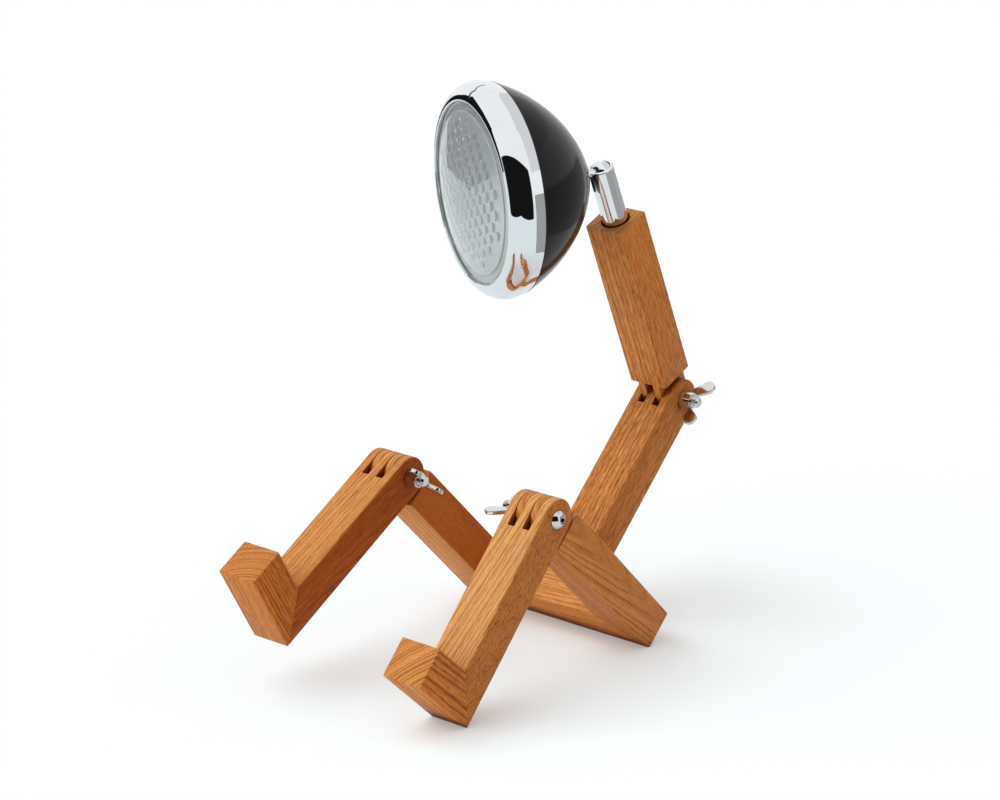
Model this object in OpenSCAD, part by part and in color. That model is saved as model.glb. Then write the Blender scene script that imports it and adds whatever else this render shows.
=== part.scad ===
// Desk lamp in the shape of a seated robot: wooden limbs on wing nut hinges,
// a chromed swivel post with a ball joint, and a headlamp for a head.
// Millimetres. The lamp faces -Y, its left hand side is +X, and it sits on Z = 0.
// The origin is the middle of the crossbar's resting edge, on the table.

/* [Wooden bars] */
// Width of every bar, across the lamp
bar_w = 33.4; // [31:0.1:38]
// Depth of every bar, front to back
bar_d = 29.8; // [27:0.1:34]
// Chamfer that eases the long edges of the bars
edge_ease = 0.8; // [0.4:0.1:1.4]
// Width of the lamp over both thighs
pelvis_w = 170; // [150:1:200]
// Resting edge of the crossbar to the knee pivot, along the thigh
thigh_len = 162.6; // [150:0.2:180]
// Knee pivot to the sole
shin_len = 155.6; // [145:0.2:170]
// Back of the heel to the end of the toe
foot_len = 65.7; // [55:0.1:80]
// Top of the crossbar to the waist pivot
torso_low_len = 159.6; // [140:0.2:180]
// Waist pivot to the top of the upper torso
torso_up_len = 161.1; // [140:0.1:180]

/* [Finger joints] */
// Width of each slot in a forked end
slot_w = 6; // [5:0.1:7.5]
// Space left on each side of a tongue in its slot
finger_gap = 0.3; // [0.2:0.05:0.6]
// Pivot to the square shoulder of a thigh
knee_shoulder = 16; // [15.9:0.1:20]
// Pivot to the bottom of the slots in a shin
knee_slot = 17.7; // [17.6:0.1:24]
// Pivot to the square shoulder of the upper torso
waist_shoulder = 20.8; // [18:0.1:26]
// Pivot to the bottom of the slots in the lower torso
waist_slot = 16.8; // [16.7:0.1:24]

/* [Hinge hardware] */
// Radius of the hinge bolts
bolt_r = 4; // [3.5:0.1:4.5]
// Running clearance round a bolt, on the radius
bolt_fit = 0.05; // [0.02:0.01:0.1]
// Length of a hinge bolt under its head
bolt_len = 48; // [46:0.5:50]
// Radius of the button head
bolt_head_r = 7; // [6:0.1:8]
// Height of the button head
bolt_head_h = 4.4; // [4:0.1:5]
// Width of the hexagon socket, across its flats
socket_af = 5; // [4:0.1:5.5]
// Depth of the hexagon socket
socket_depth = 2.6; // [2:0.1:3]
// Height of the hub of a wing nut
hub_h = 9; // [7:0.1:10]
// Radius of the hub where it meets the wood
hub_base_r = 7; // [6.6:0.1:7.5]
// Radius of the hub at its outer end
hub_top_r = 5.8; // [5.4:0.1:6.2]
// Span over both ears of a wing nut
wing_span = 39; // [34:0.5:40]
// Height of a wing nut over its ears
wing_h = 19.6; // [17:0.1:21]
// Radius of the rounded end of an ear
ear_r = 5.2; // [4.4:0.1:5.6]
// Thickness of an ear
ear_t = 3; // [2.4:0.1:3.4]
// Space between a wing nut and the wood it bears on
nut_seat = 0.1; // [0.05:0.05:0.3]

/* [Dowels] */
// Radius of the dowels in the mitred corners
dowel_r = 4; // [3:0.1:5]
// Length of the dowels in the mitred corners
dowel_len = 22; // [16:0.5:24]
// Radius of the dowels that hold the lower torso
torso_dowel_r = 5; // [4:0.1:6]
// Length of the dowels that hold the lower torso
torso_dowel_len = 40; // [30:0.5:44]
// Glue space at each end of a dowel
glue_gap = 0.4; // [0.2:0.1:1]

/* [Swivel post] */
// Radius of the chromed post
post_r = 9.5; // [9.3:0.1:9.9]
// Inside radius of the post, where the ball runs
socket_r = 7.6; // [7.6:0.05:7.9]
// Height of the post above the wood
post_h = 46; // [44:0.5:50]
// Depth of the post in the wood
post_depth = 40; // [34:0.5:48]
// Radius of the hole in the wood
wood_bore_r = 10.8; // [10.6:0.1:12]
// Depth of the open gap round the post, above its bush
gap_depth = 8; // [5:0.5:12]
// Running clearance between the post and its bush, on the radius
post_fit = 0.05; // [0.02:0.01:0.1]
// Radius of the ball
ball_r = 7.5; // [7.4:0.02:7.54]
// Rim of the post to the middle of the ball
ball_drop = 4; // [3.6:0.1:4.4]
// Inside radius of the rim that holds the ball in
rim_r = 7.15; // [7.1:0.01:7.2]
// Width of the notch that lets the stem swing down
notch_w = 7; // [6.9:0.1:7.4]
// Length of the notch, from the rim
notch_len = 17; // [14:0.5:20]
// Radius of the stem
stem_r = 3.2; // [3:0.05:3.25]
// Radius of the cable way through ball, stem and post
cable_r = 1.8; // [1.5:0.1:2]
// Radius of the hole for the cable at the back of the upper torso
gland_hole_r = 4.5; // [4:0.1:5]
// Top of the upper torso down to that hole
gland_drop = 56; // [52:1:64]

/* [Head] */
// Middle of the ball to the seam between shell and bezel
seam_z = 78; // [74:0.2:84]
// Radius of the shell at the seam
seam_r = 76.6; // [73:0.1:77.4]
// Depth of the shell, from the seam to its back
shell_depth = 64; // [62:0.2:66]
// Radius of the shell's round back
back_r = 48; // [40:0.5:55]
// Lean of the shell's side at the seam, in degrees
side_lean = 21.4; // [20:0.1:24]
// Sheet thickness of the shell and the bezel
sheet_t = 1.2; // [1:0.1:1.5]
// Thickness of the black gasket in the seam
seam_gasket = 0.9; // [0.6:0.1:1.4]
// Seam to the crease of the bezel, along the head
crease_z = 7.5; // [6:0.1:10]
// Radius of the bezel at its crease
crease_r = 78.2; // [77.6:0.1:81]
// Seam to the front lip of the bezel, along the head
lip_z = 23; // [21:0.1:26]
// Outside radius of the front lip
lip_r = 69.8; // [68.6:0.1:71]
// Radius of the arc of the bezel's wide band
band_arc_r = 17; // [14:0.5:30]
// Radius of the visible lens, inside the lip
lens_open_r = 65.8; // [65:0.1:66.6]
// Thickness of the glass
lens_t = 3.4; // [2.5:0.1:4]
// Rise of the lens in the middle
lens_rise = 9; // [6:0.5:12]
// Focal length of the reflector
focal_len = 20; // [18:0.2:21]
// Seam to the middle of the dimmer button, along the head
button_drop = 40; // [34:0.5:44]
// Radius of the dimmer button
button_r = 5.5; // [5:0.1:6.5]
// Travel of the dimmer button
button_travel = 1.5; // [1:0.1:2]

/* [Pose] */
// Tilt of the thighs from the table, in degrees
pelvis_tilt = 45; // [42:0.5:46]
// Forward lean of the upper torso from upright, in degrees
torso_lean = 23.4; // [5:0.2:45]
// How much further the right knee is open than the left, in degrees
right_knee_angle = 17.2; // [0:0.2:60]
// Turn of the head to the lamp's right, in degrees
head_turn = 27.2; // [-90:0.2:90]
// Rise of the head above square to the post, in degrees
head_rise = 17.3; // [-15:0.1:60]

/* [Hidden] */
$fn = 96;
cut = 1; // overlap of a cutting shape past the face it cuts

// Colours
wood_colour = "#b9722f";
dowel_colour = "#d9b98a";
chrome_colour = "#d9dbde";
steel_colour = "#b8babc";
black_colour = "#1d1d22";
rubber_colour = "#101012";
brass_colour = "#b9974a";
glass_colour = [0.85, 0.9, 0.93, 0.4];

// Bars and finger joints
tine_w = (bar_w - 2 * slot_w) / 3;
slot_x = (tine_w + slot_w) / 2;
end_r = bar_d / 2;
bore_r = bolt_r + bolt_fit;
limb_x = (pelvis_w - bar_w) / 2;

// The seat: the chamfer of the crossbar's lower rear edge lies on the table
seat_drop = edge_ease * min(sin(pelvis_tilt), cos(pelvis_tilt));
knee_y = -thigh_len * cos(pelvis_tilt) + end_r * sin(pelvis_tilt);
knee_z = thigh_len * sin(pelvis_tilt) + end_r * cos(pelvis_tilt) - seat_drop;

// The left shin leans until its heel is on the table, and the right one is further open
left_shin_lean = atan(end_r / shin_len) + acos(knee_z / norm([shin_len, end_r]));
right_shin_lean = left_shin_lean + right_knee_angle;
waist_up = bar_d + torso_low_len;

// Turns of the three wing nuts as they were left, in degrees
waist_nut_turn = 140;
left_nut_turn = -2;
right_nut_turn = 40;

// Swivel post and ball
bush_len = post_depth - gap_depth - 2.4;
circlip_t = 1.2;
circlip_groove = 0.8;
rim_t = 1.4;
ball_z = post_h - ball_drop;
cup_t = 7;
spring_t = 0.8;
spring_cone = 0.9;
spring_count = 3;
spring_in_r = 3.4;
spring_out_r = socket_r - 0.2;
spring_pitch = spring_t + spring_cone + 0.05;
plug_t = 5;
cup_gap = 0.1;
cup_top = ball_z - 4.3;
cup_bottom = cup_top - cup_t;
plug_top = cup_bottom - spring_count * spring_pitch;
cable_way_r = cable_r + 0.8;

// Shell: a round back, and a side arc that leaves it smoothly and meets the seam at its lean
tip_z = seam_z - shell_depth;
back_z = tip_z + back_r;
back_drop = seam_z - back_z;
side_arc_r = (pow(seam_r, 2) + pow(back_drop, 2) - pow(back_r, 2))
    / (2 * (seam_r * cos(side_lean) - back_drop * sin(side_lean) - back_r));
arc_z = seam_z + side_arc_r * sin(side_lean);
arc_x = seam_r - side_arc_r * cos(side_lean);
join_rise = (arc_z - back_z) / norm([arc_z - back_z, arc_x]);

// Bezel, lens and reflector
band_from = [crease_r, seam_z + crease_z];
band_to = [lip_r, seam_z + lip_z];
lip_roll_r = 1.3;
spigot_len = 5.5;
spigot_gap = 0.5;
lens_edge_r = lip_r - 2.4;
lens_back_z = seam_z + lip_z - lip_roll_r - 2;
lens_flange_t = 2;
gasket_t = 2;
flange_t = 0.8;
reflector_r = 63;
reflector_front = lens_back_z - gasket_t;
reflector_flange_r = lens_edge_r + 1.5;
vertex_z = reflector_front - flange_t - pow(reflector_r, 2) / (4 * focal_len);
reflector_hole_r = 13;
reflector_steps = 24;
led_board_r = 20;
led_board_t = 1.6;
led_dome_r = 9;
led_board_z = vertex_z + pow(reflector_hole_r, 2) / (4 * focal_len) - flange_t - led_board_t;
clip_count = 3;
clip_w = 10;
clip_t = 2.4;
clip_in_r = 64;

// Stem and the nuts that clamp the shell
stem_fit = 0.05;
stem_head_r = 4.3;
stem_head_t = 1.4;
stem_sink = 1.8;
stem_nut_af = 10;
stem_nut_t = 2.6;
inner_nut_af = 12;
inner_nut_t = 5;
stem_hole_r = stem_r + 0.2;
stem_nut_z = back_z - sqrt(pow(back_r, 2) - pow(stem_hole_r, 2));
inner_nut_z = tip_z + sheet_t + 0.5;
heat_sink_z = inner_nut_z + inner_nut_t + 0.1;
heat_sink_r = 21;
heat_plate_t = 3;
heat_boss_r = 8;
fin_t = 1.6;
fin_count = 7;
stem_top = led_board_z - heat_plate_t - 2;

// Dimmer: a push button in the back of the shell, on the side away from the lamp's left
button_side = 140;
button_z = seam_z - button_drop;
button_x = arc_x + sqrt(pow(side_arc_r, 2) - pow(arc_z - button_z, 2));
button_lean = asin((arc_z - button_z) / side_arc_r);
button_fit = 0.08;
button_proud = 2.2;
button_stop_t = 1;
button_stop_r = button_r + 0.9;
dimmer_collar_r = button_r + 3;
dimmer_collar_t = 1.4;
dimmer_hole_r = button_r + 1.9;
dimmer_nut_af = 19;
dimmer_nut_t = 2;
dimmer_depth = 13;
dimmer_floor = 3;

// Places

// The seat frame: X across, -Y along the thighs, Z square to them
module in_pelvis() {
    translate([0, 0, -seat_drop]) rotate([-pelvis_tilt, 0, 0]) children();
}

// The knee frame of one side: -Z runs down the shin, -Y is the front
module in_shin(side) {
    lean = side > 0 ? left_shin_lean : right_shin_lean;
    translate([side * limb_x, knee_y, knee_z]) rotate([-lean, 0, 0]) children();
}

// The waist pivot, as the lower torso stands
module at_waist() {
    in_pelvis() translate([0, -end_r, waist_up]) children();
}

// The upper torso frame: Z runs up the torso
module in_upper() {
    waist_y = -end_r * cos(pelvis_tilt) + waist_up * sin(pelvis_tilt);
    waist_z = end_r * sin(pelvis_tilt) + waist_up * cos(pelvis_tilt) - seat_drop;
    translate([0, waist_y, waist_z]) rotate([torso_lean, 0, 0]) children();
}

// The post frame: the origin is on the wood, and -Y is the side of the notch
module in_post() {
    in_upper() translate([0, 0, torso_up_len]) rotate([0, 0, -head_turn]) children();
}

// The head frame: the origin is the middle of the ball, and Z runs out of the lens
module in_head() {
    in_post() translate([0, 0, ball_z]) rotate([90 - head_rise, 0, 0]) children();
}

// The dimmer frame: Z points out of the shell, square to it
module in_dimmer() {
    in_head() rotate([0, 0, button_side]) translate([button_x, 0, button_z])
        rotate([0, 90 + button_lean, 0]) children();
}

// General shapes

// A bar that stands on the origin, with its long edges eased
module bar(len, w, d) {
    x = w / 2;
    y = d / 2;
    e = edge_ease;
    linear_extrude(len) polygon([[e - x, -y], [x - e, -y], [x, e - y], [x, y - e],
        [x - e, y], [e - x, y], [-x, y - e], [-x, e - y]]);
}

// A disc across the lamp, with its rims eased like the bars
module eased_disc(r, w) {
    e = edge_ease;
    rotate([0, 90, 0]) rotate_extrude() polygon([[0, -w / 2], [r - e, -w / 2],
        [r, e - w / 2], [r, w / 2 - e], [r - e, w / 2], [0, w / 2]]);
}

// A bore across the lamp
module cross_bore(r, w) {
    rotate([0, 90, 0]) cylinder(r = r, h = w, center = true);
}

// A bar that hangs from its pivot, with a forked and rounded top
module fork_bar(reach, slot_depth) {
    difference() {
        union() {
            translate([0, 0, -reach]) bar(reach, bar_w, bar_d);
            eased_disc(end_r, bar_w);
        }
        for (side = [-1, 1]) translate([side * slot_x - slot_w / 2, -bar_d, -slot_depth])
            cube([slot_w, 2 * bar_d, slot_depth + bar_d]);
        cross_bore(bore_r, bar_w + 2 * cut);
    }
}

// A bar that stands up from its pivot, with two rounded tongues below a square shoulder
module tongue_bar(reach, shoulder) {
    tongue_w = slot_w - 2 * finger_gap;
    difference() {
        union() {
            translate([0, 0, shoulder]) bar(reach - shoulder, bar_w, bar_d);
            for (side = [-1, 1]) translate([side * slot_x, 0, 0]) {
                rotate([0, 90, 0]) cylinder(r = end_r, h = tongue_w, center = true);
                translate([-tongue_w / 2, -end_r, 0])
                    cube([tongue_w, bar_d, shoulder + edge_ease]);
            }
        }
        cross_bore(bore_r, bar_w + 2 * cut);
    }
}

// A hinge bolt across a joint, its head on the side given
module hinge_bolt(head_side) {
    tip = bolt_r * 0.15;
    rotate([0, head_side * 90, 0]) translate([0, 0, bar_w / 2]) {
        difference() {
            rotate_extrude() intersection() {
                translate([0, -bolt_len]) square([bolt_head_r, bolt_len + bolt_head_h]);
                union() {
                    translate([0, tip - bolt_len]) square([bolt_r, bolt_len - tip]);
                    translate([0, -bolt_len]) square([bolt_r - tip, 2 * tip]);
                    button_section();
                }
            }
            translate([0, 0, bolt_head_h - socket_depth])
                cylinder(r = socket_af / 2 / cos(30), h = socket_depth + cut, $fn = 6);
        }
    }
}

// Half the section of a button head, as an arc over the top
module button_section() {
    arc_r = (pow(bolt_head_r, 2) + pow(bolt_head_h, 2)) / (2 * bolt_head_h);
    intersection() {
        square([bolt_head_r, bolt_head_h]);
        translate([0, bolt_head_h - arc_r]) circle(r = arc_r);
    }
}

// A wing nut on the X axis, its base on the wood at x = 0 and its ears out to +X
module wing_nut(turn) {
    ear_out = wing_span / 2 - ear_r;
    ear_up = wing_h - ear_r;
    rotate([0, 90, 0]) rotate([0, 0, turn]) {
        difference() {
            union() {
                cylinder(r1 = hub_base_r, r2 = hub_top_r, h = hub_h);
                for (side = [-1, 1]) rotate([0, 0, side > 0 ? 0 : 180])
                    rotate([90, 0, 0]) translate([0, 0, -ear_t / 2])
                    linear_extrude(ear_t) ear_outline(ear_out, ear_up);
            }
            translate([0, 0, -cut]) cylinder(r = bore_r, h = wing_h + 2 * cut);
        }
    }
}

// Outline of one ear: a tapered arm with a rounded end
module ear_outline(out, up) {
    rise = atan((up - hub_h / 2) / (out - hub_top_r));
    low = [out, up] + ear_r * [cos(rise - 90), sin(rise - 90)];
    high = [out, up] + ear_r * [cos(rise + 90), sin(rise + 90)];
    translate([out, up]) circle(r = ear_r);
    polygon([[bolt_r, 0.9], [hub_base_r - 0.2, 0.9], low, [out, up], high, [bolt_r + 1, hub_h]]);
}

// A dowel of the given radius and length, centred, along Z
module dowel(r, len) {
    cylinder(r = r, h = len, center = true);
}

// The two dowels across a mitred corner of the pelvis, or the holes for them
module pelvis_dowel_pair(side, len) {
    for (level = [1, 3]) translate([side * limb_x, -bar_w / 2, level * bar_d / 4])
        rotate([90, 0, side * 45]) dowel(dowel_r, len);
}

// The two dowels across the mitre at a heel, or the holes for them
module heel_dowel_pair(len) {
    for (side = [-1, 1]) translate([side * bar_w / 4, 0, end_r - shin_len])
        rotate([-45, 0, 0]) dowel(dowel_r, len);
}

// The two dowels under the lower torso, or the holes for them
module torso_dowel_pair(len) {
    middle = bar_d + 4;
    for (side = [-1, 1]) translate([side * bar_w / 4, -end_r, middle])
        dowel(torso_dowel_r, len);
}

// The corner that a mitre takes off a thigh, or the rest of it off the crossbar
module mitre_cut(side, of_thigh) {
    outer = [pelvis_w / 2 + cut, cut];
    inner = [pelvis_w / 2 - bar_w - cut, -bar_w - cut];
    third = of_thigh ? [inner[0], outer[1]] : [outer[0], inner[1]];
    translate([0, 0, -cut]) linear_extrude(bar_d + 2 * cut)
        polygon([for (p = [outer, inner, third]) [side * p[0], p[1]]]);
}

// Pelvis and lower torso

module crossbar_solid() {
    in_pelvis() difference() {
        translate([-pelvis_w / 2, -bar_w / 2, end_r]) rotate([90, 0, 90])
            bar(pelvis_w, bar_w, bar_d);
        for (side = [-1, 1]) {
            mitre_cut(side, false);
            pelvis_dowel_pair(side, dowel_len + 2 * glue_gap);
        }
        torso_dowel_pair(torso_dowel_len + 2 * glue_gap);
    }
}

module thigh_solid(side) {
    in_pelvis() difference() {
        translate([side * limb_x, -thigh_len, end_r]) rotate([-90, 0, 0])
            tongue_bar(thigh_len, knee_shoulder);
        mitre_cut(side, true);
        pelvis_dowel_pair(side, dowel_len + 2 * glue_gap);
    }
}

module pelvis_crossbar() {
    color(wood_colour) crossbar_solid();
}

module thigh_left() {
    color(wood_colour) thigh_solid(1);
}

module thigh_right() {
    color(wood_colour) thigh_solid(-1);
}

module pelvis_dowels() {
    color(dowel_colour) in_pelvis() for (side = [-1, 1]) pelvis_dowel_pair(side, dowel_len);
}

module lower_torso() {
    color(wood_colour) difference() {
        at_waist() fork_bar(torso_low_len, waist_slot);
        in_pelvis() torso_dowel_pair(torso_dowel_len + 2 * glue_gap);
    }
}

module torso_dowels() {
    color(dowel_colour) in_pelvis() torso_dowel_pair(torso_dowel_len);
}

module waist_bolt() {
    color(chrome_colour) at_waist() hinge_bolt(-1);
}

module waist_wing_nut() {
    color(chrome_colour) at_waist() rotate([pelvis_tilt, 0, 0])
        translate([bar_w / 2 + nut_seat, 0, 0]) nut_at(waist_nut_turn);
}

// A wing nut whose turn is counted from the front, up towards the top
module nut_at(turn) {
    wing_nut(90 - turn);
}

// Legs

module shin_solid(side) {
    in_shin(side) difference() {
        fork_bar(shin_len, knee_slot);
        heel_cut(true);
        heel_dowel_pair(dowel_len + 2 * glue_gap);
    }
}

module foot_solid(side) {
    in_shin(side) difference() {
        translate([0, end_r, end_r - shin_len]) rotate([90, 0, 0])
            bar(foot_len, bar_w, bar_d);
        heel_cut(false);
        heel_dowel_pair(dowel_len + 2 * glue_gap);
    }
}

// The half that the heel's mitre takes off the shin, or off the foot
module heel_cut(of_shin) {
    corner = [end_r + cut, -shin_len - cut];
    inner = [-end_r - cut, bar_d - shin_len + cut];
    third = of_shin ? [inner[0], corner[1]] : [corner[0], inner[1]];
    translate([-bar_w / 2 - cut, 0, 0]) rotate([90, 0, 90]) linear_extrude(bar_w + 2 * cut)
        polygon([corner, inner, third]);
}

module shin_left() {
    color(wood_colour) shin_solid(1);
}

module shin_right() {
    color(wood_colour) shin_solid(-1);
}

module foot_left() {
    color(wood_colour) foot_solid(1);
}

module foot_right() {
    color(wood_colour) foot_solid(-1);
}

module foot_dowels_left() {
    color(dowel_colour) in_shin(1) heel_dowel_pair(dowel_len);
}

module foot_dowels_right() {
    color(dowel_colour) in_shin(-1) heel_dowel_pair(dowel_len);
}

module knee_bolt_left() {
    color(chrome_colour) in_shin(1) hinge_bolt(1);
}

module knee_bolt_right() {
    color(chrome_colour) in_shin(-1) hinge_bolt(-1);
}

// The left nut is on the inner side, so it is mirrored to face -X
module knee_wing_nut_left() {
    color(chrome_colour) in_shin(1) rotate([left_shin_lean, 0, 0]) mirror([1, 0, 0])
        translate([bar_w / 2 + nut_seat, 0, 0]) nut_at(left_nut_turn);
}

module knee_wing_nut_right() {
    color(chrome_colour) in_shin(-1) rotate([right_shin_lean, 0, 0])
        translate([bar_w / 2 + nut_seat, 0, 0]) nut_at(right_nut_turn);
}

// Upper torso and post

module upper_torso() {
    floor_depth = post_depth + 0.3;
    color(wood_colour) in_upper() difference() {
        tongue_bar(torso_up_len, waist_shoulder);
        translate([0, 0, torso_up_len - floor_depth]) cylinder(r = wood_bore_r, h = floor_depth + cut);
        translate([0, 0, torso_up_len - gland_drop - cable_way_r])
            cylinder(r = cable_way_r, h = gland_drop);
        translate([0, 0, torso_up_len - gland_drop]) rotate([-90, 0, 0])
            cylinder(r = gland_hole_r, h = end_r + cut);
    }
}

module post_bush() {
    color(brass_colour) in_upper() translate([0, 0, torso_up_len - gap_depth - bush_len])
        difference() {
            cylinder(r = wood_bore_r, h = bush_len);
            translate([0, 0, -cut]) cylinder(r = post_r + post_fit, h = bush_len + 2 * cut);
        }
}

// Rubber gland at the back, where the cable leaves
module cord_gland() {
    flange_r = gland_hole_r + 2.5;
    flange_h = 1.6;
    color(rubber_colour) in_upper() translate([0, end_r, torso_up_len - gland_drop])
        rotate([-90, 0, 0]) difference() {
            union() {
                translate([0, 0, 2 - end_r]) cylinder(r = gland_hole_r, h = end_r - 2);
                cylinder(r = flange_r, h = flange_h);
                cylinder(r1 = gland_hole_r, r2 = gland_hole_r - 1, h = flange_h + 4);
            }
            translate([0, 0, -end_r]) cylinder(r = cable_way_r, h = end_r + flange_h + 4 + cut);
        }
}

// A tube with a rim turned in over the ball and a notch for the stem
module swivel_post() {
    length = post_depth + post_h;
    groove_z = -gap_depth - bush_len - 0.3 - circlip_t;
    color(chrome_colour) in_post() difference() {
        rotate_extrude() difference() {
            translate([0, -post_depth]) union() {
                square([post_r, length - 0.8]);
                square([post_r - 0.8, length]);
            }
            translate([0, -post_depth - cut]) square([socket_r, length - rim_t + cut]);
            square([rim_r, post_h + cut]);
            translate([post_r - circlip_groove, groove_z]) square([post_r, circlip_t]);
        }
        translate([-notch_w / 2, -post_r - cut, post_h - notch_len + notch_w / 2])
            cube([notch_w, post_r + cut, notch_len]);
        translate([0, 0, post_h - notch_len + notch_w / 2]) rotate([90, 0, 0])
            cylinder(r = notch_w / 2, h = post_r + cut);
    }
}

module post_circlip() {
    outer = wood_bore_r - 0.5;
    color(steel_colour) in_post() translate([0, 0, -gap_depth - bush_len - 0.3 - circlip_t])
        difference() {
            cylinder(r = outer, h = circlip_t);
            translate([0, 0, -cut]) cylinder(r = post_r - circlip_groove, h = circlip_t + 2 * cut);
            translate([0, -2, -cut]) cube([outer + cut, 4, circlip_t + 2 * cut]);
        }
}

// The cup that presses on the ball from below
module ball_cup() {
    color(black_colour) in_post() difference() {
        translate([0, 0, cup_bottom]) cylinder(r = socket_r - cup_gap, h = cup_t);
        translate([0, 0, ball_z]) sphere(r = ball_r + cup_gap);
        translate([0, 0, cup_bottom - cut]) cylinder(r = spring_in_r, h = cup_t + 2 * cut);
    }
}

// Coned spring washers, stacked turn about
module disc_springs() {
    color(steel_colour) in_post() for (i = [0 : spring_count - 1]) {
        up = i % 2 == 0;
        inner = up ? spring_cone : 0;
        outer = up ? 0 : spring_cone;
        translate([0, 0, plug_top + i * spring_pitch]) rotate_extrude()
            polygon([[spring_in_r, inner], [spring_out_r, outer],
                [spring_out_r, outer + spring_t], [spring_in_r, inner + spring_t]]);
    }
}

// The threaded plug that loads the springs
module spring_plug() {
    color(steel_colour) in_post() translate([0, 0, plug_top - plug_t]) difference() {
        cylinder(r = socket_r, h = plug_t);
        translate([0, 0, -cut]) cylinder(r = cable_way_r, h = plug_t + 2 * cut);
    }
}

// Ball and stem

module neck_ball() {
    color(chrome_colour) in_head() difference() {
        sphere(r = ball_r);
        translate([0, 0, -ball_r - cut]) cylinder(r = stem_r + stem_fit, h = 2 * (ball_r + cut));
        translate([0, 0, -ball_r - cut])
            cylinder(r = stem_head_r + 0.1, h = cut + stem_sink + stem_head_t + 0.1);
    }
}

module ball_stem() {
    bottom = stem_sink - ball_r;
    color(chrome_colour) in_head() difference() {
        union() {
            translate([0, 0, bottom]) cylinder(r = stem_r, h = stem_top - bottom);
            translate([0, 0, bottom]) cylinder(r = stem_head_r, h = stem_head_t);
        }
        translate([0, 0, bottom - cut]) cylinder(r = cable_r, h = stem_top - bottom + 2 * cut);
    }
}

// A hexagon nut on the stem that reaches down from the height given
module stem_nut(top, flats, height) {
    translate([0, 0, top - height]) difference() {
        intersection() {
            cylinder(r = flats / 2 / cos(30), h = height, $fn = 6);
            cylinder(r = flats / 2 + 0.4, h = height);
        }
        translate([0, 0, -cut]) cylinder(r = stem_r, h = height + 2 * cut);
    }
}

module stem_nut_outer() {
    color(chrome_colour) in_head() stem_nut(stem_nut_z, stem_nut_af, stem_nut_t);
}

module stem_nut_inner() {
    color(steel_colour) in_head() stem_nut(inner_nut_z + inner_nut_t, inner_nut_af, inner_nut_t);
}

// Head

// Half the section of the bowl, drawn in from the outside by the amount given
module bowl_section(inset, mouth) {
    join_z = back_z - (back_r - inset) * join_rise;
    intersection() {
        translate([arc_x, arc_z]) circle(r = side_arc_r - inset, $fn = 360);
        translate([0, join_z]) square([crease_r, mouth - join_z]);
    }
    intersection() {
        translate([0, back_z]) circle(r = back_r - inset, $fn = 360);
        translate([0, tip_z]) square([crease_r, mouth - tip_z]);
    }
}

module head_shell() {
    rim_z = seam_z - seam_gasket;
    color(black_colour) difference() {
        in_head() difference() {
            rotate_extrude($fn = 180) difference() {
                bowl_section(0, rim_z);
                bowl_section(sheet_t, rim_z + cut);
            }
            translate([0, 0, tip_z - cut]) cylinder(r = stem_hole_r, h = sheet_t + 2 * cut);
        }
        in_dimmer() translate([0, 0, -5 * sheet_t]) cylinder(r = dimmer_hole_r, h = 10 * sheet_t);
    }
}

module shell_gasket() {
    color(rubber_colour) in_head() translate([0, 0, seam_z - seam_gasket]) difference() {
        cylinder(r = seam_r - 0.1, h = seam_gasket);
        translate([0, 0, -cut]) cylinder(r = seam_r - 3.4, h = seam_gasket + 2 * cut);
    }
}

// Middle of an arc through two points that bulges to the right on the way from the first
function arc_middle(from, to, r) = let (chord = to - from, side = [chord[1], -chord[0]] / norm(chord))
    (from + to) / 2 - side * sqrt(pow(r, 2) - pow(norm(chord) / 2, 2));

// A strip of the given thickness along such an arc
module arc_strip(from, to, r, t) {
    mid = (from + to) / 2;
    centre = arc_middle(from, to, r);
    side = (mid - centre) / norm(mid - centre);
    half = norm(to - from) / 2;
    far = 2;
    intersection() {
        difference() {
            translate(centre) circle(r = r, $fn = 360);
            translate(centre) circle(r = r - t, $fn = 360);
        }
        polygon([centre, centre + far * (from - centre), centre + far * (mid + side * half - centre),
            centre + far * (to - centre)]);
    }
}

// Rear web and spigot, flared band, wide convex band and rolled lip, from back to front
module bezel_section() {
    spigot_r = seam_r - seam_gasket - 3.4;
    polygon([[seam_r, seam_z], band_from, band_from - [sheet_t, 0],
        [seam_r - sheet_t, seam_z + sheet_t], [spigot_r - sheet_t, seam_z + sheet_t],
        [spigot_r - sheet_t, seam_z - spigot_len], [spigot_r, seam_z - spigot_len],
        [spigot_r, seam_z]]);
    arc_strip(band_from, band_to, band_arc_r, sheet_t);
    translate(band_to - [lip_roll_r, 0]) circle(r = lip_roll_r);
    translate([lens_open_r, seam_z + lip_z - lip_roll_r])
        square([lip_r - lip_roll_r - lens_open_r, 2 * lip_roll_r]);
}

module bezel() {
    color(chrome_colour) in_head() rotate_extrude($fn = 180) bezel_section();
}

// Domed glass with a flat rim behind the lip
module lens() {
    dome_r = (pow(lens_open_r, 2) + pow(lens_rise, 2)) / (2 * lens_rise);
    top = lens_back_z + lens_flange_t;
    dome_mid = top + lens_rise - dome_r;
    color(glass_colour) in_head() rotate_extrude($fn = 180) {
        difference() {
            intersection() {
                translate([0, dome_mid]) circle(r = dome_r, $fn = 360);
                translate([0, lens_back_z]) square([lens_open_r, lens_rise + lens_flange_t]);
            }
            translate([0, dome_mid]) circle(r = dome_r - lens_t, $fn = 360);
        }
        translate([lens_open_r - lens_t, lens_back_z])
            square([lens_edge_r - lens_open_r + lens_t, lens_flange_t]);
    }
}

module lens_gasket() {
    color(rubber_colour) in_head() translate([0, 0, lens_back_z - gasket_t]) difference() {
        cylinder(r = lens_edge_r, h = gasket_t);
        translate([0, 0, -cut]) cylinder(r = lens_edge_r - 4, h = gasket_t + 2 * cut);
    }
}

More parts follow.
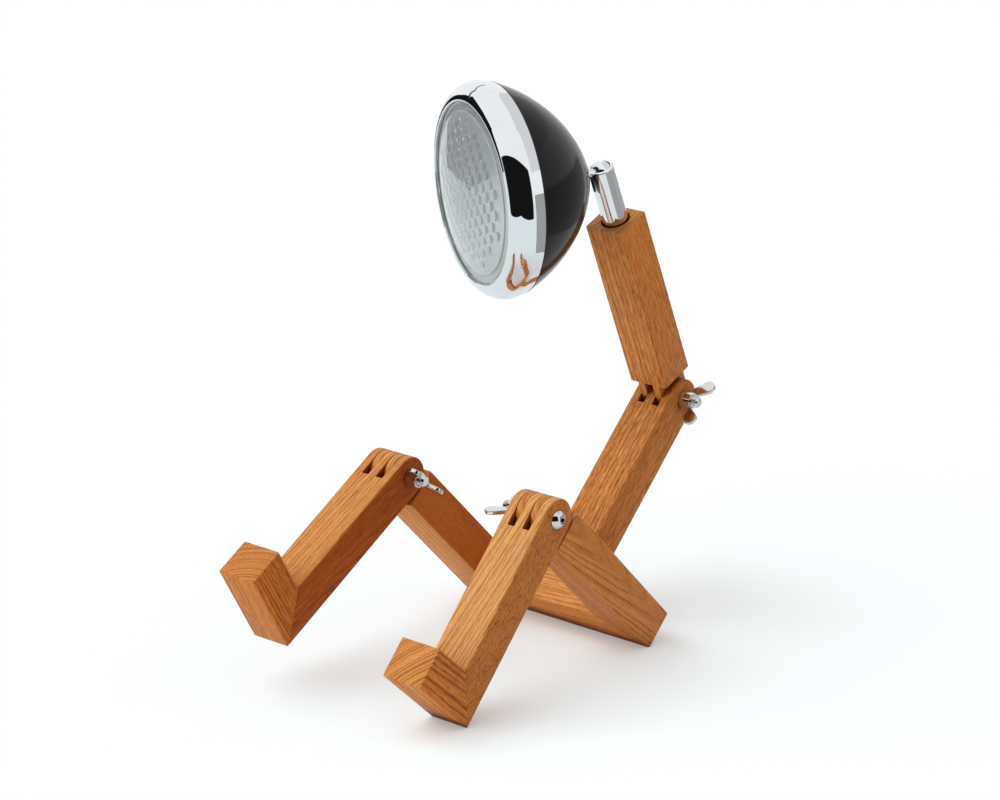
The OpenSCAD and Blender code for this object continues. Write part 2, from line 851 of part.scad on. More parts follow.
// Parabolic bowl with a flange at its mouth and a flat seat at its foot
module reflector() {
    function depth(r) = vertex_z + pow(r, 2) / (4 * focal_len);
    radii = [for (i = [0 : reflector_steps])
        reflector_hole_r + i * (reflector_r - reflector_hole_r) / reflector_steps];
    inner = [for (r = radii) [r, depth(r)]];
    outer = [for (i = [reflector_steps : -1 : 0]) [radii[i] + flange_t, depth(radii[i]) - flange_t]];
    front = reflector_front - flange_t;
    flange = [[reflector_r, reflector_front], [reflector_flange_r, reflector_front],
        [reflector_flange_r, front], [reflector_r + flange_t, front]];
    foot = [[reflector_hole_r, depth(reflector_hole_r) - flange_t]];
    color(steel_colour) in_head() rotate_extrude($fn = 180)
        polygon(concat(inner, flange, outer, foot));
}

// Spring clips that hold reflector, gasket and glass against the lip
module reflector_clips() {
    front = reflector_front - flange_t;
    color(steel_colour) in_head() intersection() {
        for (i = [0 : clip_count - 1]) rotate([0, 0, 90 + i * 360 / clip_count])
            translate([clip_in_r, -clip_w / 2, front - clip_t]) cube([crease_r - clip_in_r, clip_w, clip_t]);
        rotate_extrude($fn = 180) intersection() {
            translate([0, front - clip_t]) square([crease_r, clip_t]);
            translate(arc_middle(band_from, band_to, band_arc_r))
                circle(r = band_arc_r - sheet_t, $fn = 360);
        }
    }
}

module led_board() {
    color("white") in_head() translate([0, 0, led_board_z]) cylinder(r = led_board_r, h = led_board_t);
}

module led_dome() {
    color("#f2d98c") in_head() intersection() {
        translate([0, 0, led_board_z + led_board_t]) sphere(r = led_dome_r);
        translate([0, 0, led_board_z + led_board_t]) cylinder(r = led_dome_r + cut, h = led_dome_r + cut);
    }
}

// Finned sink on the end of the stem, with the board on its plate
module heat_sink() {
    plate_z = led_board_z - heat_plate_t;
    fin_run = plate_z - heat_sink_z - 4;
    color(steel_colour) in_head() difference() {
        union() {
            translate([0, 0, plate_z]) cylinder(r = heat_sink_r, h = heat_plate_t);
            translate([0, 0, heat_sink_z]) cylinder(r = heat_boss_r, h = plate_z - heat_sink_z);
            intersection() {
                translate([0, 0, plate_z - fin_run]) cylinder(r = heat_sink_r - 0.5, h = fin_run + cut);
                for (i = [0 : fin_count - 1])
                    translate([-heat_sink_r, (i - (fin_count - 1) / 2) * 5.4 - fin_t / 2, plate_z - fin_run])
                    cube([2 * heat_sink_r, fin_t, fin_run + cut]);
            }
        }
        translate([0, 0, heat_sink_z - cut]) cylinder(r = stem_r, h = stem_top - heat_sink_z + cut);
    }
}

// Housing of the dimmer: a collar outside, a threaded body through the shell
module dimmer_body() {
    bottom = dimmer_collar_t - dimmer_depth;
    color(chrome_colour) in_dimmer() difference() {
        union() {
            cylinder(r = dimmer_collar_r, h = dimmer_collar_t);
            translate([0, 0, bottom]) cylinder(r = dimmer_hole_r - 0.1, h = dimmer_depth);
        }
        translate([0, 0, -button_stop_t]) cylinder(r = button_r + button_fit, h = dimmer_depth);
        translate([0, 0, bottom + dimmer_floor])
            cylinder(r = button_stop_r + button_fit, h = dimmer_depth - dimmer_floor - dimmer_collar_t - button_stop_t);
    }
}

module dimmer_nut() {
    sink = sheet_t + 0.9;
    color(steel_colour) in_dimmer() translate([0, 0, -sink - dimmer_nut_t]) difference() {
        cylinder(r = dimmer_nut_af / 2 / cos(30), h = dimmer_nut_t, $fn = 6);
        translate([0, 0, -cut]) cylinder(r = dimmer_hole_r - 0.1, h = dimmer_nut_t + 2 * cut);
    }
}

// The button, held in by the step at its foot
module dimmer_button() {
    foot = -button_stop_t - 0.1;
    color(black_colour) in_dimmer() union() {
        translate([0, 0, foot]) cylinder(r = button_r, h = button_proud + dimmer_collar_t - foot);
        translate([0, 0, foot - 1.6]) cylinder(r = button_stop_r, h = 1.6);
    }
}

pelvis_crossbar();
thigh_left();
thigh_right();
pelvis_dowels();
lower_torso();
torso_dowels();
waist_bolt();
waist_wing_nut();
shin_left();
foot_left();
foot_dowels_left();
knee_bolt_left();
knee_wing_nut_left();
shin_right();
foot_right();
foot_dowels_right();
knee_bolt_right();
knee_wing_nut_right();
upper_torso();
post_bush();
cord_gland();
swivel_post();
post_circlip();
ball_cup();
disc_springs();
spring_plug();
neck_ball();
ball_stem();
stem_nut_outer();
stem_nut_inner();
head_shell();
shell_gasket();
bezel();
lens();
lens_gasket();
reflector();
reflector_clips();
led_board();
led_dome();
heat_sink();
dimmer_body();
dimmer_nut();
dimmer_button();
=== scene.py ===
"""Looks of a desk lamp shaped like a seated robot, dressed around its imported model."""

import math

import bpy
from mathutils import Matrix, Vector


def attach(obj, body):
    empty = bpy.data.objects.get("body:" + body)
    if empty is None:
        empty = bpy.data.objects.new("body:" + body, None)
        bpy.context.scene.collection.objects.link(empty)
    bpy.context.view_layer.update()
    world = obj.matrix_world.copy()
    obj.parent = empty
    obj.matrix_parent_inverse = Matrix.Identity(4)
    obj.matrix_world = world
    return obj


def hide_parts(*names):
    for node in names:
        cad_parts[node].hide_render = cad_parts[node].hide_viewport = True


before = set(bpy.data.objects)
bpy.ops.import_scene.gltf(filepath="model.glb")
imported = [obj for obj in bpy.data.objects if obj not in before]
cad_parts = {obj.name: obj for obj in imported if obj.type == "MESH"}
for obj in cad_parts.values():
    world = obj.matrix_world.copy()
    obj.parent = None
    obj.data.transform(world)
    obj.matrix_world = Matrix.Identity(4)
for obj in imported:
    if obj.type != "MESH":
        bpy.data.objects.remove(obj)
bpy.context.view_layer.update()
MM = 0.001

# Sizes of the part, in millimetres and degrees, as its source has them
BAR_W, BAR_D, EDGE = 33.4, 29.8, 0.8
PELVIS_W, THIGH, SHIN = 170.0, 162.6, 155.6
TORSO_LOW, TORSO_UP = 159.6, 161.1
PELVIS_TILT, TORSO_LEAN, RIGHT_KNEE_OPEN, HEAD_TURN, HEAD_RISE = 45.0, 23.4, 17.2, 27.2, 17.3
HALF_D = BAR_D / 2
LIMB_X = (PELVIS_W - BAR_W) / 2
BOLT_R, BOLT_LEN, BOLT_HEAD_R, BOLT_HEAD_H = 4.0, 48.0, 7.0, 4.4
SOCKET_AF, SOCKET_DEPTH, THREAD_PITCH = 5.0, 2.6, 1.25
POST_R, SOCKET_R, POST_H, POST_DEPTH, RIM_R, RIM_T = 9.5, 7.6, 46.0, 40.0, 7.15, 1.4
NOTCH_W, NOTCH_LEN = 7.0, 17.0
BALL_DROP, BALL_R, STEM_R = 4.0, 7.5, 3.2
SEAM_Z, SEAM_R, SHELL_DEPTH, BACK_R, SIDE_LEAN = 78.0, 76.6, 64.0, 48.0, 21.4
SHEET, SEAM_GASKET = 1.2, 0.9
CREASE_Z, CREASE_R, LIP_Z, LIP_R, BAND_ARC, LIP_ROLL = 7.5, 78.2, 23.0, 69.8, 17.0, 1.3
LENS_R, LENS_T, LENS_RISE, FOCUS = 65.8, 3.4, 9.0, 20.0


def turn(x=0.0, y=0.0, z=0.0):
    """A turn in degrees, about X first, then Y, then Z."""
    made = Matrix.Identity(4)
    for angle, axis in ((z, "Z"), (y, "Y"), (x, "X")):
        made = made @ Matrix.Rotation(math.radians(angle), 4, axis)
    return made


def move(x, y, z):
    """A shift in millimetres."""
    return Matrix.Translation(Vector((x, y, z)) * MM)


# Frames of the bodies, worked out as the part's source does
tilt = math.radians(PELVIS_TILT)
seat_drop = EDGE * min(math.sin(tilt), math.cos(tilt))
knee_y = -THIGH * math.cos(tilt) + HALF_D * math.sin(tilt)
knee_z = THIGH * math.sin(tilt) + HALF_D * math.cos(tilt) - seat_drop
lean_left = math.degrees(math.atan(HALF_D / SHIN) + math.acos(knee_z / math.hypot(SHIN, HALF_D)))
lean_right = lean_left + RIGHT_KNEE_OPEN
waist_up = BAR_D + TORSO_LOW
waist_y = -HALF_D * math.cos(tilt) + waist_up * math.sin(tilt)
waist_z = HALF_D * math.sin(tilt) + waist_up * math.cos(tilt) - seat_drop
in_seat = move(0, 0, -seat_drop) @ turn(-PELVIS_TILT)
in_shin = {1: move(LIMB_X, knee_y, knee_z) @ turn(-lean_left),
           -1: move(-LIMB_X, knee_y, knee_z) @ turn(-lean_right)}
at_waist = in_seat @ move(0, -HALF_D, waist_up)
in_upper = move(0, waist_y, waist_z) @ turn(TORSO_LEAN)
in_post = in_upper @ move(0, 0, TORSO_UP) @ turn(0, 0, -HEAD_TURN)
in_head = in_post @ move(0, 0, POST_H - BALL_DROP) @ turn(90 - HEAD_RISE)

# Heights along the head, worked out as the part's source does
back_drop = SHELL_DEPTH - BACK_R
side_sin, side_cos = math.sin(math.radians(SIDE_LEAN)), math.cos(math.radians(SIDE_LEAN))
side_arc = ((SEAM_R**2 + back_drop**2 - BACK_R**2)
            / (2 * (SEAM_R * side_cos - back_drop * side_sin - BACK_R)))
arc_z = SEAM_Z + side_arc * side_sin
arc_x = SEAM_R - side_arc * side_cos
tip_z = SEAM_Z - SHELL_DEPTH
back_z = tip_z + BACK_R
lens_back = SEAM_Z + LIP_Z - LIP_ROLL - 2
lens_edge = LIP_R - 2.4
button_z = SEAM_Z - 40
button_x = arc_x + math.sqrt(side_arc**2 - (arc_z - button_z)**2)
button_lean = math.degrees(math.asin((arc_z - button_z) / side_arc))
in_dimmer = in_head @ turn(0, 0, 140) @ move(button_x, 0, button_z) @ turn(0, 90 + button_lean)


# Tools for shapes

def clear():
    """Leave edit mode and drop the selection."""
    if bpy.context.object and bpy.context.object.mode != "OBJECT":
        bpy.ops.object.mode_set(mode="OBJECT")
    bpy.ops.object.select_all(action="DESELECT")


def pick(piece):
    """Select one piece alone and make it the active one."""
    clear()
    piece.select_set(True)
    bpy.context.view_layer.objects.active = piece
    return piece


def settle(piece, name, place=None, smooth=30):
    """Name a piece, put its place into its mesh and smooth its gentle edges."""
    pick(piece)
    piece.name = piece.data.name = name
    if place is not None:
        piece.matrix_world = place
    bpy.ops.object.transform_apply(location=True, rotation=True, scale=True)
    bpy.ops.object.shade_smooth_by_angle(angle=math.radians(smooth))
    clear()
    return piece


def dress(piece, body, finish, slot, *nodes):
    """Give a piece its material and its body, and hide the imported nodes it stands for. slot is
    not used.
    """
    piece.data.materials.clear()
    piece.data.materials.append(finish)
    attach(piece, body)
    if nodes:
        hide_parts(*nodes)
    return piece


def modify(piece, kind, **settings):
    """Add a modifier and apply it."""
    pick(piece)
    made = piece.modifiers.new(kind.lower(), kind)
    for key, value in settings.items():
        setattr(made, key, value)
    bpy.ops.object.modifier_apply(modifier=made.name)
    return piece


def lathe(outline, steps=128):
    """A turned piece: a point drawn out along its outline in millimetres, spun about Z."""
    clear()
    bpy.ops.mesh.primitive_plane_add(size=MM)
    bpy.ops.object.mode_set(mode="EDIT")
    bpy.ops.mesh.merge(type="CENTER")
    points = [Vector((x, 0, z)) * MM for x, z in outline]
    bpy.ops.transform.translate(value=points[0])
    for before, after in zip(points, points[1:]):
        bpy.ops.mesh.extrude_region_move(TRANSFORM_OT_translate={"value": after - before})
    bpy.ops.mesh.select_all(action="SELECT")
    bpy.ops.mesh.spin(steps=steps, angle=math.tau, center=(0, 0, 0), axis=(0, 0, 1))
    bpy.ops.mesh.select_all(action="SELECT")
    bpy.ops.mesh.remove_doubles(threshold=2e-6)
    bpy.ops.mesh.normals_make_consistent(inside=False)
    bpy.ops.object.mode_set(mode="OBJECT")
    return bpy.context.object


def arc(middle, radius, start, end, count):
    """Points on an arc in millimetres, angles in radians from the outward axis."""
    return [(middle[0] + radius * math.cos(start + (end - start) * i / count),
             middle[1] + radius * math.sin(start + (end - start) * i / count))
            for i in range(count + 1)]


def copy_of(node):
    """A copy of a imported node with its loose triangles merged."""
    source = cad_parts[node]
    piece = source.copy()
    piece.data = source.data.copy()
    for key in list(piece.keys()):
        del piece[key]
    bpy.context.scene.collection.objects.link(piece)
    piece.parent = None
    piece.matrix_world = Matrix.Identity(4)
    pick(piece)
    if piece.data.has_custom_normals:
        bpy.ops.mesh.customdata_custom_splitnormals_clear()
    bpy.ops.object.mode_set(mode="EDIT")
    bpy.ops.mesh.select_all(action="SELECT")
    bpy.ops.mesh.remove_doubles(threshold=2e-6)
    bpy.ops.mesh.dissolve_limited(angle_limit=math.radians(0.5))
    bpy.ops.object.mode_set(mode="OBJECT")
    return piece


def cut_with(piece, tool, operation="DIFFERENCE"):
    """Cut a piece with a tool that is then thrown away, or join the two."""
    modify(piece, "BOOLEAN", object=tool, operation=operation, solver="EXACT")
    bpy.data.objects.remove(tool)
    return piece


# Tools for finishes

def srgb(code):
    """A linear colour from an sRGB hex code."""
    parts = [int(code[i:i + 2], 16) / 255 for i in (1, 3, 5)]
    return (*[p / 12.92 if p <= 0.04045 else ((p + 0.055) / 1.055) ** 2.4 for p in parts], 1.0)


def add(tree, kind, links=None, **settings):
    """Add a node with its settings, and set or link its inputs."""
    made = tree.nodes.new(kind)
    for key, value in settings.items():
        setattr(made, key, value)
    for key, value in (links or {}).items():
        if isinstance(value, bpy.types.NodeSocket):
            tree.links.new(value, made.inputs[key])
        else:
            made.inputs[key].default_value = value
    return made


def blend_stops(ramp, stops):
    """Set the stops of a colour ramp from (position, hex code or grey) pairs."""
    row = ramp.color_ramp.elements
    while len(row) < len(stops):
        row.new(0.5)
    for stop, (place, tone) in zip(row, stops):
        stop.position = place
        stop.color = srgb(tone) if isinstance(tone, str) else (tone, tone, tone, 1)
    return ramp.outputs["Color"]


def new_finish(name, **surface):
    """A material with its shader's own values set."""
    made = bpy.data.materials.new(name)
    made.use_nodes = True
    shader = made.node_tree.nodes["Principled BSDF"]
    for key, value in surface.items():
        shader.inputs[key.replace("_", " ")].default_value = value
    return made, made.node_tree, shader


def in_bar(tree, place, unit):
    """Object coordinates in a bar's own frame, divided by a length per axis in millimetres."""
    here = add(tree, "ShaderNodeTexCoord")
    return add(tree, "ShaderNodeMapping", {
        "Vector": here.outputs["Object"], "Location": place.to_translation(),
        "Rotation": place.to_euler("XYZ"), "Scale": Vector(unit) * MM},
        vector_type="TEXTURE").outputs["Vector"]


# How dark a line is at most, how much loose pores show, how much darker end grain is, how far
# the painted shade in corners reaches in millimetres, and how much deeper it makes the colour
LINE_DEPTH, LOOSE_PORES, END_GRAIN, CORNER_SHADE_REACH, CORNER_SHADE_DEPTH = 0.86, 0.5, 0.93, 11, 1.5


def oiled_wood(name, place, pith, spacing, taper, sway, oil=1.0, line=1.0, dash=0.6, fleck=0.0,
               value=1.0, side=0.0):
    """Oiled cherry, planed and sanded: soft years with a fine darker line where each begins.

    place is the bar's frame, Z along the grain. pith is where the rings centre, across the bar,
    spacing is one year's growth, sway is how far the trunk wanders, all in millimetres, and taper
    leans the rings so that long faces show arches. line is how dark the years' lines are, dash
    how broken, and fleck how much of the short stipple of cut rays shows. oil deepens the colour
    as a second coat does, side is how much darker and deeper the side faces are painted, as
    painted shade, and value lightens or darkens the whole bar.
    """
    made, tree, shader = new_finish(name, Specular_IOR_Level=0.14, IOR=1.5)
    bar = in_bar(tree, place, (1, 1, 1))
    seed = (pith[0] * 3.1 + pith[1] * 1.7) % 50
    # The trunk's slow wander, over lengths of 30 mm across and 130 mm along
    wander = add(tree, "ShaderNodeTexNoise", {
        "Vector": in_bar(tree, place @ move(seed, 0, 0), (30, 30, 130)), "Scale": 1, "Detail": 2,
        "Roughness": 0.45})
    parts = add(tree, "ShaderNodeSeparateXYZ", {"Vector": bar})
    across = add(tree, "ShaderNodeCombineXYZ", {
        "X": parts.outputs["X"], "Y": parts.outputs["Y"]})
    from_pith = add(tree, "ShaderNodeVectorMath", {
        0: across.outputs["Vector"], 1: (pith[0], pith[1], 0)}, operation="DISTANCE")
    leaning = add(tree, "ShaderNodeMath", {
        0: parts.outputs["Z"], 1: taper, 2: from_pith.outputs["Value"]}, operation="MULTIPLY_ADD")
    radius = add(tree, "ShaderNodeMath", {
        0: wander.outputs["Fac"], 1: sway * 2, 2: leaning.outputs[0]}, operation="MULTIPLY_ADD")
    years = add(tree, "ShaderNodeMath", {0: radius.outputs[0], 1: spacing}, operation="DIVIDE")
    # Years differ in width, so the count is bent a little by its own slow noise
    uneven = add(tree, "ShaderNodeTexNoise", {
        "W": years.outputs[0], "Scale": 0.6, "Detail": 1}, noise_dimensions="1D")
    count = add(tree, "ShaderNodeMath", {
        0: uneven.outputs["Fac"], 1: 1.8, 2: years.outputs[0]}, operation="MULTIPLY_ADD")
    ring = add(tree, "ShaderNodeMath", {0: count.outputs[0]}, operation="FRACT")
    season = blend_stops(add(tree, "ShaderNodeValToRGB", {"Fac": ring.outputs[0]}), [
        (0.0, "#bf793e"), (0.12, "#c68144"), (0.45, "#d79857"), (0.88, "#d08f4f"),
        (1.0, "#bf793e")])
    begins = blend_stops(add(tree, "ShaderNodeValToRGB", {"Fac": ring.outputs[0]}), [
        (0.0, 0.55), (0.06, 1.0), (0.17, 0.45), (0.36, 0.1), (0.93, 0.0), (1.0, 0.55)])
    # Each year is a different shade of itself
    whole = add(tree, "ShaderNodeMath", {0: count.outputs[0]}, operation="FLOOR")
    lot = add(tree, "ShaderNodeTexWhiteNoise", {"W": whole.outputs[0]}, noise_dimensions="1D")
    # Pores are 0.1 mm wide, drawn 0.5 mm wide and 8 mm long so that they show
    pores = add(tree, "ShaderNodeTexNoise", {
        "Vector": in_bar(tree, place, (0.5, 0.5, 8.0)), "Scale": 1, "Detail": 2.5,
        "Roughness": 0.6})
    open_pores = add(tree, "ShaderNodeMapRange", {
        "Value": pores.outputs["Fac"], "From Min": 0.42, "From Max": 0.62})
    broken = add(tree, "ShaderNodeMath", {
        0: open_pores.outputs["Result"], 1: dash, 2: 1 - dash}, operation="MULTIPLY_ADD")
    lines = add(tree, "ShaderNodeMath", {0: begins, 1: broken.outputs[0]}, operation="MULTIPLY")
    # Where a face lies flat on the years their lines are broad and faint
    here = add(tree, "ShaderNodeTexCoord")
    faces = add(tree, "ShaderNodeMapping", {
        "Vector": here.outputs["Normal"], "Rotation": place.to_euler("XYZ")}, vector_type="TEXTURE")
    outward = add(tree, "ShaderNodeVectorMath", {
        0: across.outputs["Vector"], 1: (pith[0], pith[1], 0)}, operation="SUBTRACT")
    outward = add(tree, "ShaderNodeVectorMath", {
        0: outward.outputs["Vector"]}, operation="NORMALIZE")
    flat = add(tree, "ShaderNodeVectorMath", {
        0: outward.outputs["Vector"], 1: faces.outputs["Vector"]}, operation="DOT_PRODUCT")
    flat = add(tree, "ShaderNodeMath", {0: flat.outputs["Value"]}, operation="ABSOLUTE")
    faint = add(tree, "ShaderNodeMapRange", {
        "Value": flat.outputs[0], "From Min": 0.7, "From Max": 0.97,
        "To Min": 1.0, "To Max": 0.2})
    lines = add(tree, "ShaderNodeMath", {
        0: lines.outputs[0], 1: faint.outputs["Result"]}, operation="MULTIPLY")
    lines = add(tree, "ShaderNodeMath", {
        0: open_pores.outputs["Result"], 1: LOOSE_PORES, 2: lines.outputs[0]},
        operation="MULTIPLY_ADD")
    # Cut rays leave flecks of about 1 by 2.5 mm
    rays = add(tree, "ShaderNodeTexNoise", {
        "Vector": in_bar(tree, place, (0.9, 0.9, 2.4)), "Scale": 1, "Detail": 1, "Roughness": 0.5})
    flecks = add(tree, "ShaderNodeMapRange", {
        "Value": rays.outputs["Fac"], "From Min": 0.5, "From Max": 0.66, "To Max": fleck})
    flecks = add(tree, "ShaderNodeMath", {
        0: flecks.outputs["Result"], 1: flat.outputs[0]}, operation="MULTIPLY")
    marks = add(tree, "ShaderNodeMath", {
        0: lines.outputs[0], 1: line, 2: flecks.outputs[0]},
        operation="MULTIPLY_ADD", use_clamp=True)
    deep = add(tree, "ShaderNodeMath", {0: marks.outputs[0], 1: LINE_DEPTH}, operation="MULTIPLY")
    season = add(tree, "ShaderNodeMix", {
        "Factor": faint.outputs["Result"], "A": srgb("#ca8748"), "B": season}, data_type="RGBA")
    wood = add(tree, "ShaderNodeMix", {
        "Factor": deep.outputs[0], "A": season.outputs["Result"], "B": srgb("#86481f")},
        data_type="RGBA")
    fibre = add(tree, "ShaderNodeTexNoise", {
        "Vector": in_bar(tree, place, (0.4, 0.4, 22.0)), "Scale": 1, "Detail": 2})
    patch = add(tree, "ShaderNodeTexNoise", {
        "Vector": in_bar(tree, place @ move(0, seed, 0), (24, 24, 60)), "Scale": 1, "Detail": 1})
    # End grain drinks more oil and is a little darker
    facing = add(tree, "ShaderNodeVectorMath", {0: faces.outputs["Vector"]}, operation="ABSOLUTE")
    facing = add(tree, "ShaderNodeSeparateXYZ", {"Vector": facing.outputs["Vector"]})
    shade = add(tree, "ShaderNodeMapRange", {
        "Value": facing.outputs["Z"], "From Min": 0.75, "From Max": 0.95,
        "To Min": value, "To Max": value * END_GRAIN}).outputs["Result"]
    # How much each of these lightens and darkens the colour
    for source, spread in ((fibre.outputs["Fac"], 0.26), (rays.outputs["Fac"], 0.42),
                           (patch.outputs["Fac"], 0.2), (lot.outputs["Value"], 0.08)):
        part = add(tree, "ShaderNodeMapRange", {
            "Value": source, "To Min": 1 - spread / 2, "To Max": 1 + spread / 2})
        shade = add(tree, "ShaderNodeMath", {
            0: part.outputs["Result"], 1: shade}, operation="MULTIPLY").outputs[0]
    # Painted shade: the colour darkens and deepens in the slots and where two bars meet
    open_to_air = add(tree, "ShaderNodeAmbientOcclusion", {
        "Distance": CORNER_SHADE_REACH * MM}, samples=6)
    painted_corner_shade = add(tree, "ShaderNodeMapRange", {
        "Value": open_to_air.outputs["AO"], "From Min": 0.12, "From Max": 0.62,
        "To Min": 0.46, "To Max": 1.0})
    shade = add(tree, "ShaderNodeMath", {
        0: painted_corner_shade.outputs["Result"], 1: shade}, operation="MULTIPLY")
    # Painted shade: the colour deepens on the side faces, as much as side says, and in corners
    depth = add(tree, "ShaderNodeMath", {
        0: facing.outputs["X"], 1: side, 2: oil + CORNER_SHADE_DEPTH}, operation="MULTIPLY_ADD")
    depth = add(tree, "ShaderNodeMath", {
        0: painted_corner_shade.outputs["Result"], 1: -CORNER_SHADE_DEPTH, 2: depth.outputs[0]},
        operation="MULTIPLY_ADD")
    oiled = add(tree, "ShaderNodeGamma", {
        "Color": wood.outputs["Result"], "Gamma": depth.outputs[0]})
    shaded = add(tree, "ShaderNodeHueSaturation", {
        "Color": oiled.outputs["Color"], "Value": shade.outputs[0]})
    tree.links.new(shaded.outputs["Color"], shader.inputs["Base Color"])
    rough = add(tree, "ShaderNodeMapRange", {
        "Value": marks.outputs[0], "To Min": 0.42, "To Max": 0.62})
    tree.links.new(rough.outputs["Result"], shader.inputs["Roughness"])
    bump = add(tree, "ShaderNodeBump", {
        "Height": marks.outputs[0], "Strength": 0.3, "Distance": 0.08 * MM}, invert=True)
    grain = add(tree, "ShaderNodeBump", {
        "Height": fibre.outputs["Fac"], "Strength": 0.15, "Distance": 0.05 * MM,
        "Normal": bump.outputs["Normal"]})
    tree.links.new(grain.outputs["Normal"], shader.inputs["Normal"])
    return made


def plated(name, code, rough, wear, pit=0.0, **surface):
    """Metal with a slow change of roughness, as polishing leaves it, and a fine pitting."""
    made, tree, shader = new_finish(name, Metallic=1.0, **surface)
    here = add(tree, "ShaderNodeTexCoord")
    slow = add(tree, "ShaderNodeTexNoise", {
        "Vector": here.outputs["Object"], "Scale": 90, "Detail": 3})
    shade = add(tree, "ShaderNodeMapRange", {
        "Value": slow.outputs["Fac"], "From Min": 0.3, "From Max": 0.7,
        "To Min": 0.97, "To Max": 1.0})
    tint = add(tree, "ShaderNodeHueSaturation", {
        "Color": srgb(code), "Value": shade.outputs["Result"]})
    tree.links.new(tint.outputs["Color"], shader.inputs["Base Color"])
    spread = add(tree, "ShaderNodeMapRange", {
        "Value": slow.outputs["Fac"], "From Min": 0.3, "From Max": 0.7,
        "To Min": rough, "To Max": rough + wear})
    tree.links.new(spread.outputs["Result"], shader.inputs["Roughness"])
    if pit:
        grit = add(tree, "ShaderNodeTexNoise", {
            "Vector": here.outputs["Object"], "Scale": 1600, "Detail": 2})
        bump = add(tree, "ShaderNodeBump", {
            "Height": grit.outputs["Fac"], "Strength": pit, "Distance": 0.05 * MM})
        tree.links.new(bump.outputs["Normal"], shader.inputs["Normal"])
    return made


def moulded(name, code, rough, grit_mm, depth, **surface):
    """Plastic, rubber or paint: one colour with a faint cloud, over a fine skin texture."""
    made, tree, shader = new_finish(name, **surface)
    here = add(tree, "ShaderNodeTexCoord")
    cloud = add(tree, "ShaderNodeTexNoise", {
        "Vector": here.outputs["Object"], "Scale": 60, "Detail": 2})
    shade = add(tree, "ShaderNodeMapRange", {
        "Value": cloud.outputs["Fac"], "From Min": 0.3, "From Max": 0.7,
        "To Min": 0.94, "To Max": 1.04})
    tint = add(tree, "ShaderNodeHueSaturation", {
        "Color": srgb(code), "Value": shade.outputs["Result"]})
    tree.links.new(tint.outputs["Color"], shader.inputs["Base Color"])
    skin = add(tree, "ShaderNodeTexNoise", {
        "Vector": here.outputs["Object"], "Scale": 1 / (grit_mm * MM), "Detail": 1})
    spread = add(tree, "ShaderNodeMapRange", {
        "Value": skin.outputs["Fac"], "To Min": rough * 0.85, "To Max": rough * 1.15})
    tree.links.new(spread.outputs["Result"], shader.inputs["Roughness"])
    bump = add(tree, "ShaderNodeBump", {
        "Height": skin.outputs["Fac"], "Strength": depth, "Distance": 0.05 * MM})
    tree.links.new(bump.outputs["Normal"], shader.inputs["Normal"])
    return made


# Finishes other than wood, with what each gives the eye

# Decorative chrome, buffed: a mirror with no grain
chrome = plated("polished_chrome", "#e9ecee", 0.012, 0.015)
# Nickel on small turned and cast pieces: bright, with soft edges to what it mirrors
hardware = plated("bright_nickel_plate", "#dddbd8", 0.085, 0.05)
# Zinc on springs, clips and hidden nuts: a dull grey with a fine crystal
zinc = plated("zinc_plated_steel", "#b4b6b9", 0.3, 0.12, 0.1)
# Brass from the lathe: yellow with a broad sheen
brass = plated("turned_brass", "#c2a052", 0.25, 0.1, 0.05)
# Aluminium vapour on a spun bowl: pale, and it spreads the light it throws back
bright_aluminium = plated("vapour_bright_aluminium", "#b8bbc0", 0.58, 0.06)
# Aluminium as extruded: grey and faintly rough
sink_aluminium = plated("extruded_aluminium", "#a9abae", 0.35, 0.1, 0.1)
# Stoved enamel: a deep black under a clear shine, with a slow orange peel of 3 mm
enamel = moulded("black_enamel", "#1b1a20", 0.1, 3.0, 0.01, Specular_IOR_Level=0.12)
# Moulded rubber: black with no shine
rubber = moulded("black_rubber", "#141415", 0.6, 0.3, 0.1)
# Cast silicone: a soft pale ring round the glass
silicone = moulded("pale_silicone", "#c9cacb", 0.45, 0.5, 0.05)
# Moulded nylon: black with a low sheen
nylon = moulded("black_nylon", "#1a1a1c", 0.4, 0.4, 0.05)
# Plastic from a spark eroded mould: satin black under the finger
button_plastic = moulded("satin_black_plastic", "#17171a", 0.32, 0.35, 0.06)
# Solder mask: an even white with a slight shine
board_mask = moulded("white_solder_mask", "#e4e4e0", 0.35, 0.5, 0.04)
# Opal plastic: milky and smooth
opal = moulded("opal_diffuser", "#ecebe6", 0.25, 0.4, 0.02)
# Beech: plain and pale, with close years that hardly show
dowel_wood = oiled_wood("plain_beech_dowel", in_seat, (9, 14), 1.8, 0.0, 0.5, oil=0.75, line=0.4,
                        value=1.05)


def pressed_glass():
    """Clear pressed glass: smooth outside, with the faint ripple that a press leaves.

    Real glass is bright where light is caught between its faces. A short path of light ends
    black there, so each face gives a trace of light of its own.
    """
    made, tree, shader = new_finish(
        "pressed_glass", Transmission_Weight=1.0, IOR=1.5, Roughness=0.0,
        Base_Color=srgb("#fafcfb"), Emission_Color=srgb("#f4f7fa"), Emission_Strength=0.042)
    here = add(tree, "ShaderNodeTexCoord")
    ripple = add(tree, "ShaderNodeTexNoise", {
        "Vector": here.outputs["Object"], "Scale": 120, "Detail": 1})
    bump = add(tree, "ShaderNodeBump", {
        "Height": ripple.outputs["Fac"], "Strength": 0.05, "Distance": 0.2 * MM})
    tree.links.new(bump.outputs["Normal"], shader.inputs["Normal"])
    return made


glass = pressed_glass()

# Wooden bars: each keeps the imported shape, with its sharp edges rounded over as by hand sanding
SANDED = 0.45
grain_back = turn(-90)
